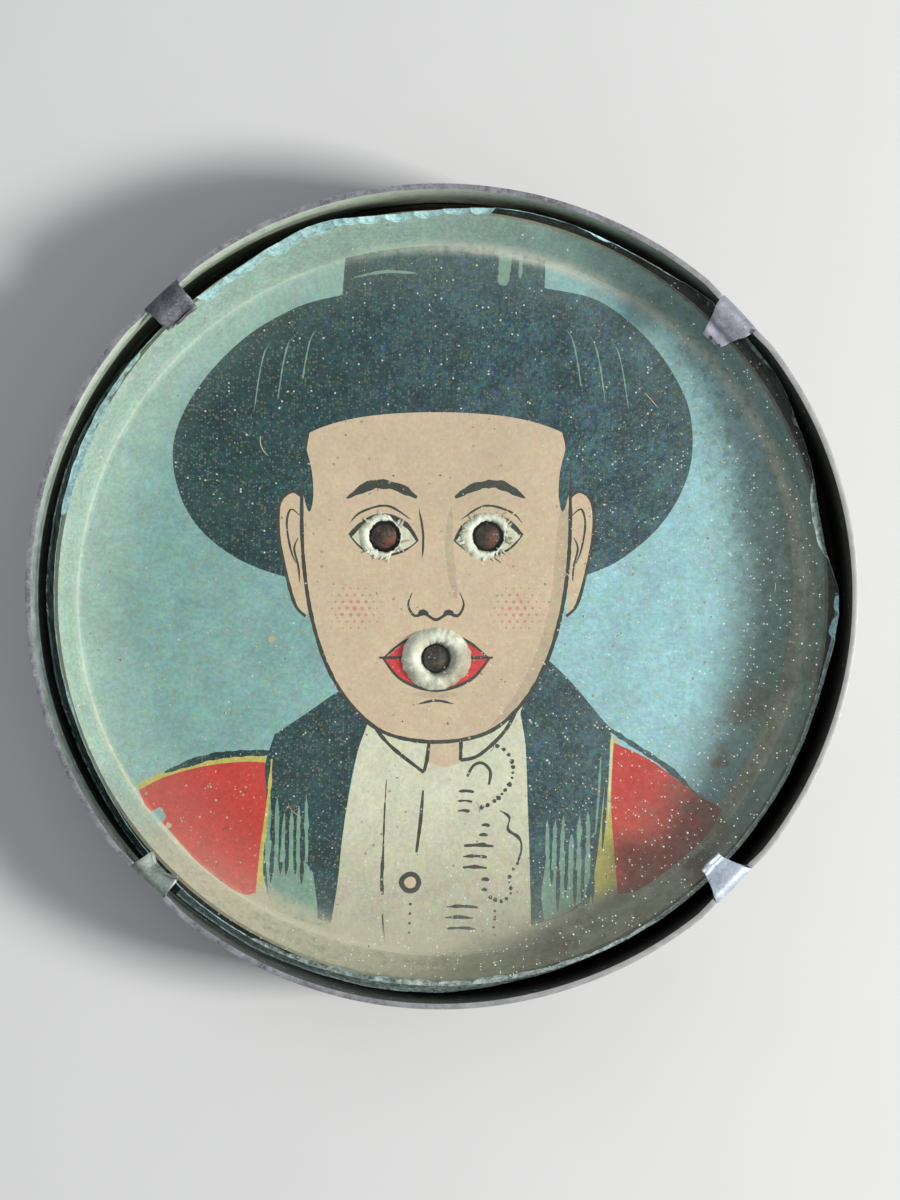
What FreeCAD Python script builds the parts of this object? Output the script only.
import FreeCAD, Part

import os

import Sketcher

# Round pocket puzzle: a tin case holds a glass front, a printed card with three punched pockets and
# a mirror back, and three balls roll on the card. Millimetres, +Z out through the front glass,
# +Y towards the top of the picture, origin at the centre of the back face.

DRIVING = {
    "caseDiameter": 60.0,
    "caseHeight": 9.2,
    "tinSheet": 0.4,
    "backLipWidth": 2.2,
    "backBendRadius": 0.7,
    "discDiameter": 58.2,
    "mirrorThick": 1.2,
    "mirrorBevel": 0.25,
    "backingThick": 0.8,
    "boardDiameter": 52.6,
    "boardThick": 1.2,
    "cardThick": 0.3,
    "creaseRadius": 26.6,
    "cardEdgeRadius": 27.95,
    "playGap": 2.4,
    "glassThick": 1.6,
    "tabAngle": 44.0,
    "tabBaseWidth": 3.5,
    "tabTipWidth": 2.1,
    "tabReach": 2.9,
    "pocketDiameter": 2.6,
    "ballDiameter": 2.0,
    "ballSeatGap": 0.02,
    "faceAxisX": -0.4,
    "eyeHalfSpacing": 3.8,
    "eyeHeight": 4.4,
    "mouthHeight": -4.6,
}

# Sizes and heights that follow from the driving ones, the stack counted up from the back.
DERIVED = {
    "caseRadius": "caseDiameter / 2",
    "wallInnerRadius": "caseRadius - tinSheet",
    "lipInnerRadius": "caseRadius - backLipWidth",
    "discRadius": "discDiameter / 2",
    "boardRadius": "boardDiameter / 2",
    "backingBottom": "tinSheet + mirrorThick",
    "boardBottom": "backingBottom + backingThick",
    "cardBottom": "boardBottom + boardThick",
    "cardTop": "cardBottom + cardThick",
    "glassBottom": "cardTop + playGap",
    "glassTop": "glassBottom + glassThick",
    "notchDepth": "caseHeight - glassTop - tinSheet",
    "creaseInnerRadius": "creaseRadius - cardThick / 2",
    "creaseOuterRadius": "creaseRadius + cardThick / 2",
    "cardEdgeInnerRadius": "cardEdgeRadius - cardThick",
    "tabRootRadius": "caseRadius - tinSheet / 2",
    "tabTipRadius": "caseRadius - tabReach",
    "tabBaseHalf": "tabBaseWidth / 2",
    "tabTipHalf": "tabTipWidth / 2",
    "notchInnerRadius": "wallInnerRadius - tinSheet",
    "notchOuterRadius": "caseRadius + tinSheet",
    "pocketRadius": "pocketDiameter / 2",
    "ballRadius": "ballDiameter / 2",
    "ballCentreHeight": "boardBottom + ballSeatGap + ballRadius",
    "leftEyeX": "faceAxisX - eyeHalfSpacing",
    "rightEyeX": "faceAxisX + eyeHalfSpacing",
}

# The glass was nibbled round by hand: its edge, as degrees from +X and millimetres from the centre.
GLASS_EDGE = [
    (3, 28.5), (6, 28.15), (15, 28.2), (21, 28.5), (26, 28.7), (31, 29.0), (39, 29.05), (47, 29.0),
    (54, 28.6), (68, 28.5), (82, 28.4), (90, 28.05), (100, 28.0), (108, 28.5), (117, 28.15),
    (132, 28.0), (150, 28.2), (168, 28.1), (187, 28.05), (206, 28.0), (226, 28.3), (244, 28.35),
    (262, 28.2), (284, 28.2), (303, 28.3), (320, 28.25), (336, 28.3), (350, 28.5),
]

# Each ball lies in a pocket of its own: node name, then the sheet's names for its place on the card.
BALLS = [
    ("ball_left_eye", "leftEyeX", "eyeHeight"),
    ("ball_right_eye", "rightEyeX", "eyeHeight"),
    ("ball_mouth", "faceAxisX", "mouthHeight"),
]

FULL_TURN = 360.0
TAB_COUNT = 4
TOLERANCE = 1e-6
THROUGH_ALL = 1
UP = FreeCAD.Vector(0, 0, 1)

# How Sketcher numbers a line's start, a circle's centre, the origin and the two axes.
START = 1
END = 2
CENTRE = 3
ORIGIN = (-1, 1)
H_AXIS = -1
V_AXIS = -2

doc = FreeCAD.newDocument("PocketPuzzle")


def make_sheet():
    """Put the driving and the derived dimensions into a spreadsheet, one alias to a row."""
    cells = doc.addObject("Spreadsheet::Sheet", "Dims")
    contents = [(alias, str(size)) for alias, size in DRIVING.items()]
    contents += [(alias, "=" + formula) for alias, formula in DERIVED.items()]
    for row, (alias, text) in enumerate(contents, start=1):
        cells.set("A%d" % row, alias)
        cells.set("B%d" % row, text)
        cells.setAlias("B%d" % row, alias)
    doc.recompute()
    return cells


dims = make_sheet()


def size_of(alias):
    """Read one number from the sheet."""
    return float(dims.get(alias))


def new_body(name):
    body = doc.addObject("PartDesign::Body", name)
    body.Label = name
    return body


def origin_feature(body, role):
    """Find an origin plane or axis of a body by its role, such as XY_Plane or Z_Axis."""
    for feature in body.Origin.OriginFeatures:
        if feature.Role == role:
            return feature
    raise RuntimeError("no origin feature " + role)


def new_sketch(body, name, plane="XY_Plane", lift=None, turn=None):
    """Make a sketch on an origin plane, lifted along its normal and turned about it."""
    sketch = body.newObject("Sketcher::SketchObject", name)
    sketch.AttachmentSupport = [(origin_feature(body, plane), "")]
    sketch.MapMode = "FlatFace"
    height = size_of(lift) if lift else 0.0
    angle = size_of(turn) if turn else 0.0
    rotation = FreeCAD.Rotation(UP, angle)
    sketch.AttachmentOffset = FreeCAD.Placement(FreeCAD.Vector(0, 0, height), rotation)
    if lift:
        sketch.setExpression("AttachmentOffset.Base.z", "Dims." + lift)
    if turn:
        sketch.setExpression("AttachmentOffset.Rotation.Angle", "Dims." + turn)
    return sketch


def bind(sketch, constraint, alias):
    """Add a dimension to a sketch and tie it to a cell."""
    index = sketch.addConstraint(constraint)
    sketch.setExpression("Constraints[%d]" % index, "Dims." + alias)


def fix_point(sketch, curve, point, x_alias, y_alias):
    """Hold one sketch point at two cells' distances from the origin. None is on the axis."""
    if x_alias is None:
        sketch.addConstraint(Sketcher.Constraint("PointOnObject", curve, point, V_AXIS))
    else:
        across = Sketcher.Constraint("DistanceX", *ORIGIN, curve, point, size_of(x_alias))
        bind(sketch, across, x_alias)
    if y_alias is None:
        sketch.addConstraint(Sketcher.Constraint("PointOnObject", curve, point, H_AXIS))
    else:
        along = Sketcher.Constraint("DistanceY", *ORIGIN, curve, point, size_of(y_alias))
        bind(sketch, along, y_alias)


def add_polygon(sketch, points):
    """Draw a closed outline of straight lines through the points, joined end to start."""
    count = len(points)
    for i in range(count):
        sketch.addGeometry(Part.LineSegment(points[i], points[(i + 1) % count]), False)
    for i in range(count):
        sketch.addConstraint(Sketcher.Constraint("Coincident", i, END, (i + 1) % count, START))


def add_profile(sketch, corners):
    """Draw a closed outline whose corners are pairs of cell names."""
    points = []
    for x_alias, y_alias in corners:
        x = size_of(x_alias) if x_alias else 0.0
        y = size_of(y_alias) if y_alias else 0.0
        points.append(FreeCAD.Vector(x, y, 0))
    add_polygon(sketch, points)
    for i, (x_alias, y_alias) in enumerate(corners):
        fix_point(sketch, i, START, x_alias, y_alias)


def add_ear(sketch, inner, outer, inner_half, outer_half):
    """Draw a four-sided ear that points along +X and is the same on both sides of the X axis."""
    x_in, x_out = size_of(inner), size_of(outer)
    y_in, y_out = size_of(inner_half), size_of(outer_half)
    points = [
        FreeCAD.Vector(x_in, y_in, 0),
        FreeCAD.Vector(x_out, y_out, 0),
        FreeCAD.Vector(x_out, -y_out, 0),
        FreeCAD.Vector(x_in, -y_in, 0),
    ]
    add_polygon(sketch, points)
    fix_point(sketch, 0, START, inner, inner_half)
    fix_point(sketch, 1, START, outer, outer_half)
    sketch.addConstraint(Sketcher.Constraint("Symmetric", 1, START, 2, START, H_AXIS))
    sketch.addConstraint(Sketcher.Constraint("Symmetric", 0, START, 3, START, H_AXIS))


def add_circle(sketch, radius, x_alias=None, y_alias=None):
    x = size_of(x_alias) if x_alias else 0.0
    y = size_of(y_alias) if y_alias else 0.0
    circle = Part.Circle(FreeCAD.Vector(x, y, 0), UP, size_of(radius))
    index = sketch.addGeometry(circle, False)
    bind(sketch, Sketcher.Constraint("Radius", index, size_of(radius)), radius)
    fix_point(sketch, index, CENTRE, x_alias, y_alias)


def add_feature(body, kind, name, sketch):
    feature = body.newObject("PartDesign::" + kind, name)
    feature.Profile = sketch
    return feature


def pad(body, name, sketch, length):
    feature = add_feature(body, "Pad", name, sketch)
    feature.setExpression("Length", "Dims." + length)
    return feature


def revolve(body, name, sketch):
    """Turn a profile drawn on the XZ plane once round the Z axis."""
    feature = add_feature(body, "Revolution", name, sketch)
    feature.ReferenceAxis = (sketch, ["V_Axis"])
    feature.Angle = FULL_TURN
    return feature


def circle_edges(shape, radius, height):
    """Name the edges that are circles of this radius at this height."""
    names = []
    for i, edge in enumerate(shape.Edges, start=1):
        curve = edge.Curve
        if not isinstance(curve, Part.Circle):
            continue
        if abs(curve.Radius - radius) < TOLERANCE and abs(curve.Center.z - height) < TOLERANCE:
            names.append("Edge%d" % i)
    return names


def make_case():
    """Tin case: drawn wall, a lip turned in round the back, four tabs slit from the front edge."""
    body = new_body("tin_case")
    profile = new_sketch(body, "case_profile", "XZ_Plane")
    corners = [
        ("lipInnerRadius", None),
        ("caseRadius", None),
        ("caseRadius", "caseHeight"),
        ("wallInnerRadius", "caseHeight"),
        ("wallInnerRadius", "tinSheet"),
        ("lipInnerRadius", "tinSheet"),
    ]
    add_profile(profile, corners)
    shell = revolve(body, "case_shell", profile)
    doc.recompute()

    bend = body.newObject("PartDesign::Fillet", "back_bend")
    bend.Base = (shell, circle_edges(shell.Shape, size_of("caseRadius"), 0.0))
    bend.setExpression("Radius", "Dims.backBendRadius")
    doc.recompute()

    tab_outline = new_sketch(body, "tab_outline", lift="glassTop", turn="tabAngle")
    add_ear(tab_outline, "tabTipRadius", "tabRootRadius", "tabTipHalf", "tabBaseHalf")
    tab = pad(body, "tab", tab_outline, "tinSheet")

    notch_outline = new_sketch(body, "notch_outline", lift="caseHeight", turn="tabAngle")
    add_ear(notch_outline, "notchInnerRadius", "notchOuterRadius", "tabBaseHalf", "tabBaseHalf")
    notch = add_feature(body, "Pocket", "notch", notch_outline)
    notch.setExpression("Length", "Dims.notchDepth")
    doc.recompute()

    round_case = body.newObject("PartDesign::PolarPattern", "tabs_round_case")
    round_case.Originals = [tab, notch]
    round_case.Axis = (tab_outline, ["N_Axis"])
    round_case.Angle = FULL_TURN
    round_case.Occurrences = TAB_COUNT
    body.Tip = round_case
    return body


def make_glass():
    """Front glass: a disc nibbled to a wavy edge, held down by the tabs."""
    body = new_body("front_glass")
    outline = new_sketch(body, "nibbled_edge", lift="glassBottom")
    points = []
    for angle, radius in GLASS_EDGE:
        turned = FreeCAD.Rotation(UP, angle).multVec(FreeCAD.Vector(radius, 0, 0))
        points.append(turned)
    edge = Part.BSplineCurve()
    edge.interpolate(Points=points, PeriodicFlag=True)
    outline.addGeometry(edge, False)
    pad(body, "glass_disc", outline, "glassThick")
    return body


def add_pocket_circles(sketch):
    for _, x_alias, y_alias in BALLS:
        add_circle(sketch, "pocketRadius", x_alias, y_alias)


def punch_pockets(body, lift):
    """Punch the three ball pockets right through a body."""
    outline = new_sketch(body, body.Name + "_pockets", lift=lift)
    add_pocket_circles(outline)
    doc.recompute()
    before = body.Tip.Shape.Volume
    cut = add_feature(body, "Pocket", body.Name + "_punch", outline)
    cut.Type = THROUGH_ALL
    cut.Midplane = True
    doc.recompute()
    if not cut.Shape.Volume < before:
        raise RuntimeError(body.Name + " pockets cut nothing")


def make_card():
    """Printed card: a shallow dish whose edge turns up to the glass."""
    body = new_body("printed_card")
    profile = new_sketch(body, "dish_profile", "XZ_Plane")
    corners = [
        (None, "cardBottom"),
        ("creaseOuterRadius", "cardBottom"),
        ("cardEdgeRadius", "glassBottom"),
        ("cardEdgeInnerRadius", "glassBottom"),
        ("creaseInnerRadius", "cardTop"),
        (None, "cardTop"),
    ]
    add_profile(profile, corners)
    revolve(body, "dish", profile)
    doc.recompute()
    punch_pockets(body, "cardBottom")
    return body


def make_disc(name, bottom, radius, thickness):
    """Plain round disc lying at a height in the stack."""
    body = new_body(name)
    outline = new_sketch(body, name + "_outline", lift=bottom)
    add_circle(outline, radius)
    disc = pad(body, name + "_disc", outline, thickness)
    doc.recompute()
    return body, disc


def make_board():
    """Pocket board: brown board under the card, punched through for the balls."""
    body, _ = make_disc("pocket_board", "boardBottom", "boardRadius", "boardThick")
    punch_pockets(body, "boardBottom")
    return body


def make_mirror():
    """Back mirror: a glass disc with both edges ground off, resting on the case's lip."""
    body, disc = make_disc("back_mirror", "tinSheet", "discRadius", "mirrorThick")
    faces = (size_of("tinSheet"), size_of("backingBottom"))
    edges = []
    for height in faces:
        edges += circle_edges(disc.Shape, size_of("discRadius"), height)
    bevel = body.newObject("PartDesign::Chamfer", "mirror_bevel")
    bevel.Base = (disc, edges)
    bevel.setExpression("Size", "Dims.mirrorBevel")
    return body


def make_ball(name, x_alias, y_alias):
    """Shot ball at the bottom of its pocket."""
    ball = doc.addObject("Part::Sphere", name)
    ball.Label = name
    ball.setExpression("Radius", "Dims.ballRadius")
    ball.setExpression("Placement.Base.x", "Dims." + x_alias)
    ball.setExpression("Placement.Base.y", "Dims." + y_alias)
    ball.setExpression("Placement.Base.z", "Dims.ballCentreHeight")
    return ball


def check_document():
    """Stop if any object failed to compute."""
    for item in doc.Objects:
        if "Invalid" in item.State or "Error" in item.State:
            raise RuntimeError(item.Label + " failed: " + str(item.State))


def export(pieces):
    """Check each piece's solid and write it to its own file."""
    os.makedirs("parts", exist_ok=True)
    for piece in pieces:
        shape = piece.Shape
        if shape.isNull() or not shape.isValid() or len(shape.Solids) != 1:
            raise RuntimeError(piece.Label + " is not one valid solid")
        shape.exportStep("parts/%s.step" % piece.Label)
        print("%-15s %10.3f mm3" % (piece.Label, shape.Volume))


def main():
    backing, _ = make_disc("backing_board", "backingBottom", "discRadius", "backingThick")
    pieces = [make_case(), make_glass(), make_card(), make_board(), backing, make_mirror()]
    pieces += [make_ball(*ball) for ball in BALLS]
    doc.recompute()
    check_document()
    export(pieces)


main()
